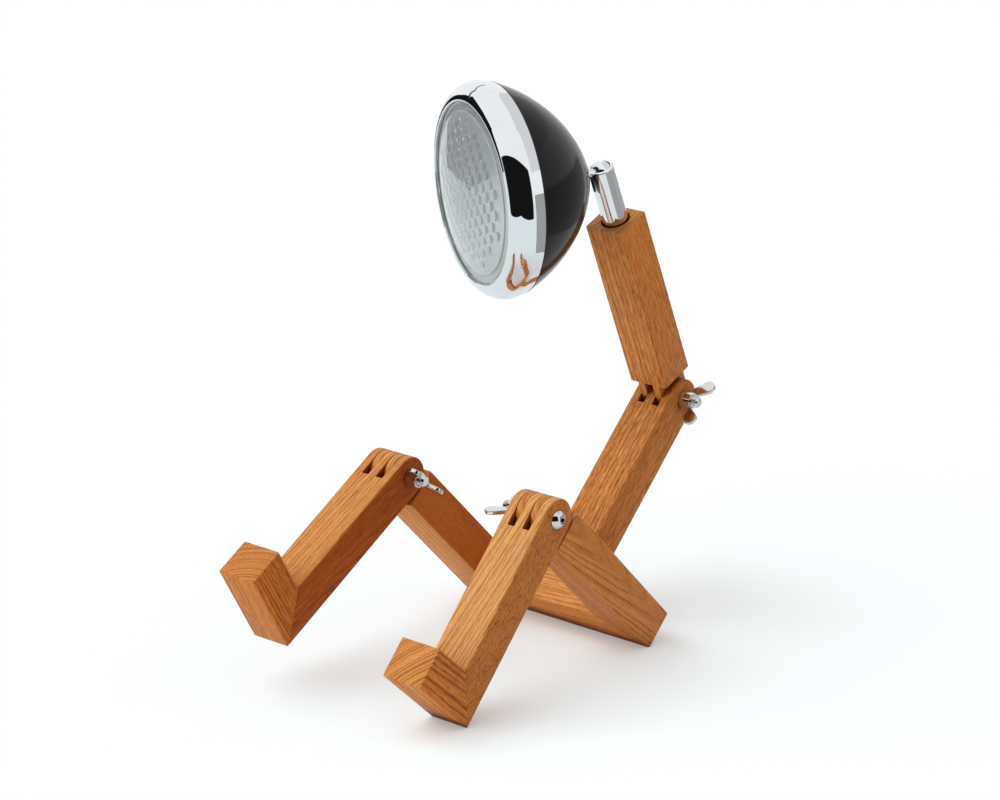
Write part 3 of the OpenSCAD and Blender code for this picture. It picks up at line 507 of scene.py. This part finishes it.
# Body, frame, pith, spacing, taper, sway, oil, line, dash, fleck, value and side of each bar
bars = {
    "pelvis_crossbar": (
        "seat", in_seat @ move(-PELVIS_W / 2, -BAR_W / 2, HALF_D) @ turn(90, 0, 90),
        (-26, 34), 3.8, 0.05, 5.0, 1.02, 0.7, 1.0, 0.2, 1.33, 0.0),
    "thigh_left": (
        "seat", in_seat @ move(LIMB_X, -THIGH, HALF_D) @ grain_back,
        (26, -8), 4.4, 0.14, 5.0, 1.06, 0.7, 0.7, 0.3, 1.14, 0.04),
    "thigh_right": (
        "seat", in_seat @ move(-LIMB_X, -THIGH, HALF_D) @ grain_back,
        (-70, 8), 2.9, 0.0, 2.0, 0.92, 0.5, 0.6, 0.1, 1.16, 0.52),
    "lower_torso": (
        "seat", at_waist,
        (-60, -22), 4.0, 0.015, 3.0, 1.08, 1.5, 1.0, 0.25, 1.26, 0.04),
    "shin_left": (
        "left_lower_leg", in_shin[1],
        (-72, -4), 4.6, -0.14, 3.0, 0.86, 0.85, 0.6, 0.7, 1.14, 0.25),
    "foot_left": (
        "left_lower_leg", in_shin[1] @ move(0, HALF_D, HALF_D - SHIN) @ turn(90),
        (100, -90), 3.4, 0.02, 3.0, 1.04, 0.95, 0.5, 0.15, 1.28, 0.25),
    "shin_right": (
        "right_lower_leg", in_shin[-1],
        (-58, -26), 3.6, -0.05, 3.0, 1.01, 0.85, 0.8, 0.35, 1.18, 0.58),
    "foot_right": (
        "right_lower_leg", in_shin[-1] @ move(0, HALF_D, HALF_D - SHIN) @ turn(90),
        (20, -52), 2.6, 0.02, 2.0, 1.12, 0.9, 0.7, 0.12, 1.27, 0.24),
    "upper_torso": (
        "upper_body", in_upper,
        (-66, 8), 4.2, 0.015, 3.0, 1.02, 1.3, 1.0, 0.25, 1.32, 0.13),
}
for node, (body, place, pith, *grain) in bars.items():
    bar = copy_of(node)
    modify(bar, "BEVEL", width=SANDED * MM, segments=2, limit_method="ANGLE",
           angle_limit=math.radians(25), use_clamp_overlap=True, miter_outer="MITER_ARC")
    settle(bar, node + "_wood", smooth=25)
    dress(bar, body, oiled_wood(node + "_oiled_cherry", place, pith, *grain), "oiled_wood", node)


# Hinge bolts: a button head with a hexagon socket, and a thread where the nut runs
def hinge_bolt(name, place, body, node):
    """A turned bolt with its axis on Z and the underside of its head at nought."""
    thread_from, tip = -BAR_W + 2, -BOLT_LEN
    groove = 0.61 * THREAD_PITCH
    outline = [(0, tip), (BOLT_R - 1.2, tip), (BOLT_R - groove, tip + 0.5)]
    turns = int((thread_from - tip - 1.0) / THREAD_PITCH)
    for i in range(turns):
        low = tip + 0.6 + i * THREAD_PITCH
        outline += [(BOLT_R, low + 0.50), (BOLT_R, low + 0.66),
                    (BOLT_R - groove, low + 1.16), (BOLT_R - groove, low + THREAD_PITCH)]
    arc_r = (BOLT_HEAD_R**2 + BOLT_HEAD_H**2) / (2 * BOLT_HEAD_H)
    middle = BOLT_HEAD_H - arc_r
    start = math.asin(-middle / arc_r)
    outline += [(BOLT_R, thread_from), (BOLT_R, -0.2), (BOLT_R + 0.3, 0), (BOLT_HEAD_R - 0.5, 0),
                (BOLT_HEAD_R - 0.12, 0.15)]
    outline += arc((0, middle), arc_r, start + 0.06, math.radians(89.9), 14) + [(0, BOLT_HEAD_H)]
    bolt = lathe(outline, 48)
    clear()
    bpy.ops.mesh.primitive_cylinder_add(
        vertices=6, radius=SOCKET_AF / 2 / math.cos(math.pi / 6) * MM,
        depth=2 * SOCKET_DEPTH * MM, location=(0, 0, BOLT_HEAD_H * MM))
    cut_with(bolt, bpy.context.object)
    settle(bolt, name, place, 35)
    dress(bolt, body, hardware, "chrome", node)


for node, spot, side, body in (("waist_bolt", at_waist, -1, "seat"),
                               ("knee_bolt_left", in_shin[1], 1, "left_lower_leg"),
                               ("knee_bolt_right", in_shin[-1], -1, "right_lower_leg")):
    hinge_bolt(node + "_threaded", spot @ turn(0, side * 90) @ move(0, 0, BAR_W / 2), body, node)

# Wing nuts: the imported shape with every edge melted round, as a casting has them
CAST_STEP = 0.2
for node, body in (("waist_wing_nut", "waist_nut"), ("knee_wing_nut_left", "left_knee_nut"),
                   ("knee_wing_nut_right", "right_knee_nut")):
    nut = copy_of(node)
    modify(nut, "REMESH", mode="VOXEL", voxel_size=CAST_STEP * MM)
    modify(nut, "SMOOTH", factor=0.5, iterations=14)
    settle(nut, node + "_cast", smooth=180)
    dress(nut, body, hardware, "chrome", node)

# Bezel: rear web and spigot, flared band, wide convex band and the lip rolled in over the glass
band_from, band_to = Vector((CREASE_R, SEAM_Z + CREASE_Z)), Vector((LIP_R, SEAM_Z + LIP_Z))
chord = band_to - band_from
outward = Vector((-chord.y, chord.x)).normalized() * -1
middle = (band_from + band_to) / 2 - outward * math.sqrt(BAND_ARC**2 - (chord.length / 2)**2)
start = math.atan2(band_from.y - middle.y, band_from.x - middle.x)
end = math.atan2(band_to.y - middle.y, band_to.x - middle.x)
spigot, SPIGOT_LEN = SEAM_R - SEAM_GASKET - 3.4, 5.5
# The lip rolls in on a radius of its own, from one angle to another
LIP_SOFT, LIP_OUT, LIP_IN = 5.6, math.radians(62), math.radians(100)
roll_mid = (LIP_R - 0.06 - LIP_SOFT * math.cos(LIP_OUT),
            SEAM_Z + LIP_Z + 0.05 - LIP_SOFT * math.sin(LIP_OUT))
bezel_outline = [(spigot, SEAM_Z), (spigot, SEAM_Z - SPIGOT_LEN),
                 (spigot - SHEET, SEAM_Z - SPIGOT_LEN),
                 (spigot - SHEET, SEAM_Z + SHEET), (SEAM_R - SHEET, SEAM_Z + SHEET),
                 (CREASE_R - SHEET, SEAM_Z + CREASE_Z)]
bezel_outline += arc(middle, BAND_ARC - SHEET, start + 0.03, end - 0.02, 14)
bezel_outline += [(LENS_R, SEAM_Z + LIP_Z - LIP_ROLL), (LENS_R, SEAM_Z + LIP_Z + 0.3)]
bezel_outline += arc(roll_mid, LIP_SOFT, LIP_IN, LIP_OUT, 10)
bezel_outline += list(reversed(arc(middle, BAND_ARC, start + 0.02, end - 0.02, 24)))
bezel_outline += [(CREASE_R, SEAM_Z + CREASE_Z), (CREASE_R - 0.05, SEAM_Z + CREASE_Z - 0.3),
                  (SEAM_R, SEAM_Z), (spigot, SEAM_Z)]
bezel = settle(lathe(bezel_outline, 200), "bezel_spun", in_head, 25)
dress(bezel, "head", chrome, "chrome", "bezel")

# Shell: one deep drawn bowl, open at the stem and at the dimmer
def bowl(inset, mouth, count):
    """The bowl's section from its mouth to its back, drawn in by an inset."""
    meet = -math.atan2(arc_z - back_z, -arc_x)
    side_r = side_arc - inset
    wall = arc((arc_x, arc_z), side_r, -math.asin((arc_z - mouth) / side_r), meet, count)
    back = arc((0, back_z), BACK_R - inset, meet, -math.pi / 2, count)
    return wall + back[1:]


DIMMER_HOLE_R = 7.4
rim = SEAM_Z - SEAM_GASKET
hole = STEM_R + 0.2
outside = [p for p in bowl(0, rim, 28) if p[0] > hole + 0.3]
inside = [p for p in bowl(SHEET, rim, 28) if p[0] > hole + 0.3]
shell_outline = outside + [(hole, tip_z + 0.12), (hole, tip_z + SHEET + 0.12)] + inside[::-1]
shell_outline.append(shell_outline[0])
shell = lathe(shell_outline, 180)
clear()
bpy.ops.mesh.primitive_cylinder_add(vertices=64, radius=DIMMER_HOLE_R * MM, depth=12 * MM)
drill = bpy.context.object
drill.matrix_world = in_head.inverted() @ in_dimmer
cut_with(shell, drill)
settle(shell, "head_shell_drawn", in_head, 30)
dress(shell, "head", enamel, "black_enamel", "head_shell")

# Reflector: a spun parabola with a turned flange
DISH_R, DISH_HOLE, DISH_WALL, DISH_STEPS = 63, 13, 0.8, 48
front = lens_back - 2.0
vertex = front - DISH_WALL - DISH_R**2 / (4 * FOCUS)
dish = [DISH_HOLE + i * (DISH_R - DISH_HOLE) / DISH_STEPS for i in range(DISH_STEPS + 1)]
dish = [(x, vertex + x**2 / (4 * FOCUS)) for x in dish]
reflector_outline = dish + [
    (DISH_R, front), (lens_edge + 1.5, front), (lens_edge + 1.5, front - DISH_WALL),
    (DISH_R + DISH_WALL, front - DISH_WALL)]
reflector_outline += [(x + DISH_WALL, z - DISH_WALL) for x, z in reversed(dish)]
reflector_outline += [(DISH_HOLE, dish[0][1] - DISH_WALL), dish[0]]
reflector = settle(lathe(reflector_outline, 160), "reflector_spun", in_head, 30)
dress(reflector, "head", bright_aluminium, "mirror_metal", "reflector")

# Lens: a domed disc with a plain stepped rim, and rows of oval pillows pressed into its back
dome_r = (LENS_R**2 + LENS_RISE**2) / (2 * LENS_RISE)
dome_top = lens_back + 2 + LENS_RISE


def dome(r, drop=0.0):
    """Height of the dome at a radius, less a drop."""
    return dome_top - dome_r + math.sqrt(dome_r**2 - r * r) - drop


# The gap between pillows in a row and between rows, the rows' turn in the bezel, a pillow's
# half sizes, how far its middle is sunk, and how far out the rows reach
PILLOW_GAP, PILLOW_ROW, PATTERN_TURN = 7.7, 10.3, -37.6
PILLOW, PILLOW_SUNK, PATTERN_R = (3.75, 4.9, 0.78), 0.3, 51
# Radii and drops of the steps in the plain rim
RIM_STEPS = ((58.0, 0.0), (58.8, 0.25), (59.4, 0.8), (62.6, 0.8), (63.2, 0.6), (64.6, 0.6),
             (65.4, 0.8))
lens_outline = [(0, dome(0))] + [(r, dome(r)) for r in range(4, 58, 4)]
lens_outline += [(r, dome(r, drop)) for r, drop in RIM_STEPS]
lens_outline += [(LENS_R, dome(LENS_R, 1.4) - 0.4), (LENS_R, lens_back + 2),
                 (lens_edge, lens_back + 2), (lens_edge, lens_back), (LENS_R - 3.4, lens_back)]
lens_outline += [(r, dome(r, LENS_T)) for r in (61, 58, 54, *range(48, -1, -6))]
lens = lathe(lens_outline, 160)
clear()
bpy.ops.mesh.primitive_uv_sphere_add(segments=20, ring_count=10, radius=1.0)
pillow = bpy.context.object
half_sizes = [half * MM for half in PILLOW]
pillow.matrix_world = turn(0, 0, PATTERN_TURN) @ Matrix.Diagonal((*half_sizes, 1))
bpy.ops.object.transform_apply(location=True, rotation=True, scale=True)
copies = []
for row in range(-6, 7):
    for column in range(-8, 9):
        x, y, _ = turn(0, 0, PATTERN_TURN) @ Vector(
            ((column + 0.5 * (row % 2)) * PILLOW_GAP, row * PILLOW_ROW, 0))
        r = math.hypot(x, y)
        if r > PATTERN_R:
            continue
        one = pillow.copy()
        one.data = pillow.data.copy()
        bpy.context.scene.collection.objects.link(one)
        one.location = Vector((x, y, dome(r, LENS_T) + PILLOW_SUNK)) * MM
        copies.append(one)
bpy.data.objects.remove(pillow)
clear()
for one in copies:
    one.select_set(True)
bpy.context.view_layer.objects.active = copies[0]
bpy.ops.object.join()
bpy.ops.object.transform_apply(location=True, rotation=True, scale=True)
cut_with(lens, bpy.context.object, "UNION")
settle(lens, "lens_pressed", in_head, 30)
dress(lens, "head", glass, "clear_glass", "lens")

# Post: a polished tube with its rim turned in over the ball, and the notch for the stem
post_outline = [(SOCKET_R, -POST_DEPTH), (POST_R, -POST_DEPTH), (POST_R, POST_H - 1.2)]
post_outline += arc((POST_R - 1.2, POST_H - 1.2), 1.2, 0.2, math.pi / 2, 8)
post_outline += [(RIM_R + 0.3, POST_H), (RIM_R, POST_H - 0.3), (RIM_R, POST_H - RIM_T),
                 (SOCKET_R, POST_H - RIM_T - 0.3), (SOCKET_R, -POST_DEPTH)]
post = lathe(post_outline, 96)
clear()
notch_y = -POST_R / 2 - 0.5
bpy.ops.mesh.primitive_cube_add(
    size=MM, location=Vector((0, notch_y, POST_H - NOTCH_LEN / 2 + NOTCH_W / 2)) * MM)
notch = bpy.context.object
notch.scale = (NOTCH_W, POST_R + 1, NOTCH_LEN)
bpy.ops.object.transform_apply(location=True, rotation=True, scale=True)
cut_with(post, notch)
clear()
bpy.ops.mesh.primitive_cylinder_add(
    vertices=48, radius=NOTCH_W / 2 * MM, depth=(POST_R + 1) * MM,
    location=Vector((0, notch_y, POST_H - NOTCH_LEN + NOTCH_W / 2)) * MM,
    rotation=(math.pi / 2, 0, 0))
cut_with(post, bpy.context.object)
settle(post, "swivel_post_polished", in_post, 35)
dress(post, "neck_post", chrome, "chrome", "swivel_post")

# Ball: turned and polished, drilled through for the stem
POCKET_R, POCKET_TOP, BALL_BOTTOM = 4.4, -4.2, -5.6
drilled = STEM_R + 0.05
ball_top = math.sqrt(BALL_R**2 - drilled**2)
ball_outline = [(drilled, ball_top)]
ball_outline += arc((0, 0), BALL_R, math.radians(64), math.radians(-54), 40)
ball_outline += [(POCKET_R, BALL_BOTTOM), (POCKET_R, POCKET_TOP), (drilled, POCKET_TOP),
                 (drilled, ball_top)]
ball = lathe(ball_outline, 72)
settle(ball, "neck_ball_polished", in_head, 35)
dress(ball, "neck", chrome, "chrome", "neck_ball")

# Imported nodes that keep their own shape
for node, finish in {
        "pelvis_dowels": dowel_wood, "torso_dowels": dowel_wood, "foot_dowels_left": dowel_wood,
        "foot_dowels_right": dowel_wood, "post_bush": brass, "cord_gland": rubber,
        "post_circlip": zinc, "ball_cup": nylon, "disc_springs": zinc, "spring_plug": zinc,
        "ball_stem": chrome, "stem_nut_outer": chrome, "stem_nut_inner": zinc,
        "shell_gasket": rubber, "lens_gasket": silicone, "reflector_clips": zinc,
        "led_board": board_mask, "led_dome": opal, "heat_sink": sink_aluminium,
        "dimmer_body": chrome, "dimmer_nut": zinc, "dimmer_button": button_plastic}.items():
    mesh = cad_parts[node].data
    mesh.materials.clear()
    mesh.materials.append(finish)

# Floor: plain and pale, white to the eye where no shadow falls. What bounces off it is warm
FLOOR_GLOW, GLOW_MIRRORED = 0.225, 0.3
clear()
bpy.ops.mesh.primitive_plane_add(size=30)
floor = bpy.context.object
floor.name = "floor"
paper = bpy.data.materials.new("pale_floor")
paper.use_nodes = True
tree = paper.node_tree
tree.nodes.clear()
seen = add(tree, "ShaderNodeLightPath")
mirrored = add(tree, "ShaderNodeMath", {
    0: seen.outputs["Is Glossy Ray"], 1: seen.outputs["Is Transmission Ray"]}, operation="MAXIMUM")
looked_at = add(tree, "ShaderNodeMath", {
    0: mirrored.outputs[0], 1: GLOW_MIRRORED, 2: seen.outputs["Is Camera Ray"]},
    operation="MULTIPLY_ADD")
glow = add(tree, "ShaderNodeMath", {0: looked_at.outputs[0], 1: FLOOR_GLOW}, operation="MULTIPLY")
shown = add(tree, "ShaderNodeMath", {
    0: mirrored.outputs[0], 1: seen.outputs["Is Camera Ray"]}, operation="MAXIMUM")
surface = add(tree, "ShaderNodeMix", {
    "Factor": shown.outputs[0], "A": srgb("#f3ece3"), "B": srgb("#e5edf3")}, data_type="RGBA")
lit = add(tree, "ShaderNodeBsdfDiffuse", {"Color": surface.outputs["Result"]})
white = add(tree, "ShaderNodeEmission", {"Strength": glow.outputs[0]})
both = add(tree, "ShaderNodeAddShader", {0: lit.outputs[0], 1: white.outputs[0]})
add(tree, "ShaderNodeOutputMaterial", {"Surface": both.outputs[0]})
floor.data.materials.append(paper)

# World: white where it is looked at or mirrored, a soft warm fill otherwise
FILL = 0.41
world = bpy.data.worlds.new("studio")
bpy.context.scene.world = world
world.use_nodes = True
tree = world.node_tree
tree.nodes.clear()
seen = add(tree, "ShaderNodeLightPath")
looked_at = add(tree, "ShaderNodeMath", {
    0: seen.outputs["Is Camera Ray"], 1: seen.outputs["Is Glossy Ray"]}, operation="MAXIMUM")
looked_at = add(tree, "ShaderNodeMath", {
    0: looked_at.outputs[0], 1: seen.outputs["Is Transmission Ray"]}, operation="MAXIMUM")
strength = add(tree, "ShaderNodeMapRange", {
    "Value": looked_at.outputs[0], "To Min": FILL, "To Max": 1.0})
tone = add(tree, "ShaderNodeMix", {
    "Factor": looked_at.outputs[0], "A": srgb("#f9f1e6"), "B": srgb("#ffffff")}, data_type="RGBA")
sky = add(tree, "ShaderNodeBackground", {
    "Color": tone.outputs["Result"], "Strength": strength.outputs["Result"]})
add(tree, "ShaderNodeOutputWorld", {"Surface": sky.outputs[0]})


def lamp(name, place, **settings):
    """A broad soft lamp, far off, that shines from its place in metres to the origin."""
    data = bpy.data.lights.new(name, "SUN")
    for key, value in settings.items():
        setattr(data, key, value)
    made = bpy.data.objects.new(name, data)
    bpy.context.scene.collection.objects.link(made)
    made.location = place
    made.rotation_euler = (-Vector(place)).to_track_quat("-Z", "Y").to_euler()
    made.visible_glossy = False


cool = srgb("#f7ffff")[:3]
lamp("key", (-1.3, -1.3, 2.0), energy=1.66, color=cool, angle=math.radians(64))
lamp("front", (-0.5, -1.9, 0.35), energy=0.34, color=cool, angle=math.radians(70))
lamp("top", (0.1, 0.3, 2.0), energy=0.7, angle=math.radians(100))


def card(name, grey, corners, through_glass=True):
    """A flat card in the studio that only metal and glass show, from its corners in metres."""
    clear()
    bpy.ops.mesh.primitive_plane_add(size=1)
    made = bpy.context.object
    made.name = name
    for point, corner in zip(made.data.vertices, corners):
        point.co = corner
    board = bpy.data.materials.new(name)
    board.use_nodes = True
    tree = board.node_tree
    tree.nodes.clear()
    shine = add(tree, "ShaderNodeEmission", {"Strength": grey})
    add(tree, "ShaderNodeOutputMaterial", {"Surface": shine.outputs[0]})
    made.data.materials.append(board)
    made.visible_camera = made.visible_diffuse = made.visible_shadow = False
    made.visible_transmission = through_glass


# Black flags before the lamp and on its left, thin booms, and grey walls on its right and above,
# as chrome needs them to look like metal. The glass shows no flag, or its pillows turn black
FLAG, BOOM = 0.008, 0.05
card("black_flag_left", FLAG, (
    (-0.68, -0.86, 0.0), (0.36, -1.05, 0.0), (-0.68, -0.86, 0.47), (0.36, -1.05, 1.12)), False)
card("black_flag_right", FLAG, (
    (0.36, -1.05, 0.0), (1.02, -0.25, 0.0), (0.36, -1.05, 1.12), (1.02, -0.25, 0.94)), False)
card("black_flag_side", FLAG, (
    (-1.10, -0.07, 0.02), (-1.10, -0.93, 0.20), (-1.10, -0.07, 0.82), (-1.10, -0.93, 0.86)), False)
card("black_flag_end", FLAG, (
    (-1.10, 0.28, 0.07), (-1.10, -0.07, 0.05), (-1.10, 0.28, 0.40), (-1.10, -0.07, 0.74)), False)
card("boom_low", BOOM, (
    (-1.10, -0.09, 0.60), (-1.10, -0.13, 0.62), (-1.07, 0.22, 1.01), (-1.07, 0.18, 1.04)))
card("boom_high", BOOM, (
    (-1.07, 0.20, 1.00), (-1.07, 0.20, 1.04), (-0.82, 0.67, 0.97), (-0.82, 0.67, 1.01)))
card("grey_wall", 0.38, (
    (0.62, -0.02, 0.0), (0.40, 0.40, 0.0), (0.62, -0.02, 0.38), (0.40, 0.40, 0.38)))
card("grey_wall_back", 0.42, (
    (0.40, 0.40, 0.0), (-0.10, 0.85, 0.0), (0.40, 0.40, 0.38), (-0.10, 0.85, 0.38)))
card("grey_step", 0.38, (
    (0.33, 0.02, 0.003), (0.22, 0.19, 0.003), (0.62, -0.02, 0.003), (0.40, 0.40, 0.003)))
card("grey_ceiling", 0.76, (
    (0.95, 0.20, 0.74), (-0.60, 1.30, 0.74), (0.40, 0.10, 1.60), (-0.50, 0.60, 1.60)))

# Camera: fitted to the photograph's perspective, with a long lens some 2.4 m away
AZIMUTH, ELEVATION, ROLL = math.radians(40.6711), math.radians(17.5428), math.radians(0.2824)
LOOKED_AT, FROM_THERE = Vector((0, -66.8, 133.6 - seat_drop)), Vector((-0.195, 49.296, 2443.31))
look = (Matrix.Rotation(AZIMUTH, 4, "Z") @ Matrix.Rotation(math.pi / 2 - ELEVATION, 4, "X")
        @ Matrix.Rotation(ROLL, 4, "Z"))
stand = LOOKED_AT * MM + look.to_3x3() @ FROM_THERE * MM
view = bpy.data.cameras.new("photograph")
view.lens, view.sensor_width, view.sensor_fit = 123.943, 36.0, "HORIZONTAL"
view.clip_end = 100
camera = bpy.data.objects.new("photograph", view)
bpy.context.scene.collection.objects.link(camera)
camera.matrix_world = Matrix.Translation(stand) @ look
bpy.context.scene.camera = camera
bpy.context.scene.view_settings.view_transform = "Standard"
